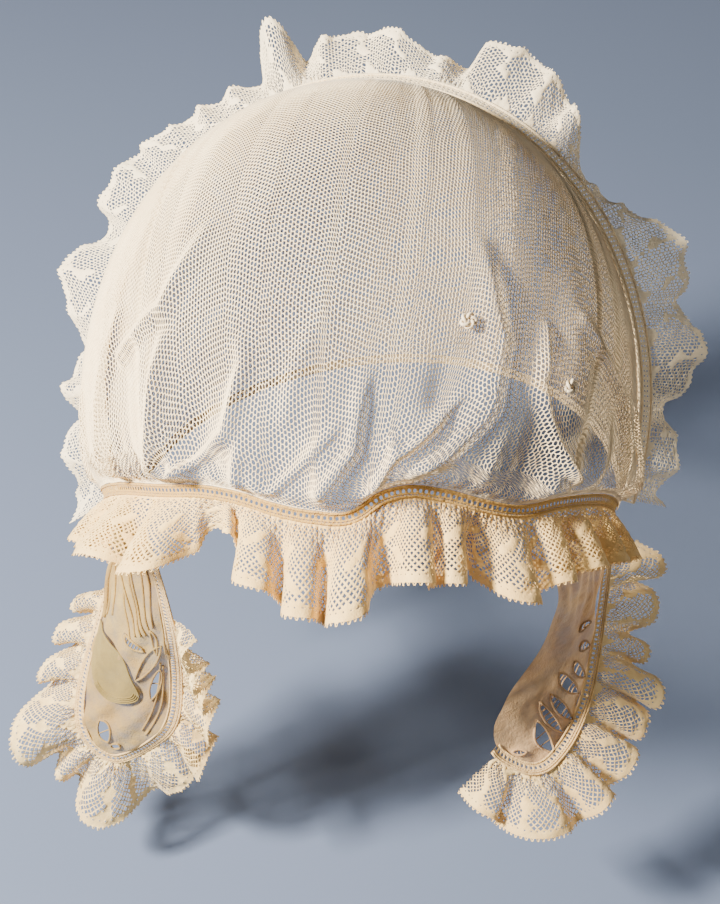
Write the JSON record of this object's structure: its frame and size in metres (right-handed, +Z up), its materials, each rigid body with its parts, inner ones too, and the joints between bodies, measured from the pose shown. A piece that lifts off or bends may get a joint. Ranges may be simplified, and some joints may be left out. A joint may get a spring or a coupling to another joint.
{
  "type": "lace cap",
  "caption": "Net lace cap with a domed crown, beading bands, ruffled lace edges and two rounded lappets that hang in front of the ears.",
  "frame": {"origin": "inside of the top of the crown, where the wearer's head carries the cap", "axes": "+X to the viewer's right as seen from the front, +Y towards the back of the head, +Z up"},
  "size_m": [0.22, 0.2245, 0.226],
  "materials": {
    "net": "cream cotton net, matt",
    "band": "ochre beading lace, matt",
    "frill": "ivory gathered lace, matt",
    "lappet": "tan patterned lace, matt",
    "thread": "ivory thread, matt"
  },
  "bodies": {
    "root": {"crown_net": "net", "back_net": "net", "nape_hem": "band", "front_band": "band", "crown_band": "band", "front_frill": "frill", "crown_frill": "frill", "lappet_left": "lappet", "lappet_right": "lappet", "lappet_band_left": "band", "lappet_band_right": "band", "lappet_frill_left": "frill", "lappet_frill_right": "frill", "thread_knot_1": "thread", "thread_knot_2": "thread"}
  },
  "joints": []
}
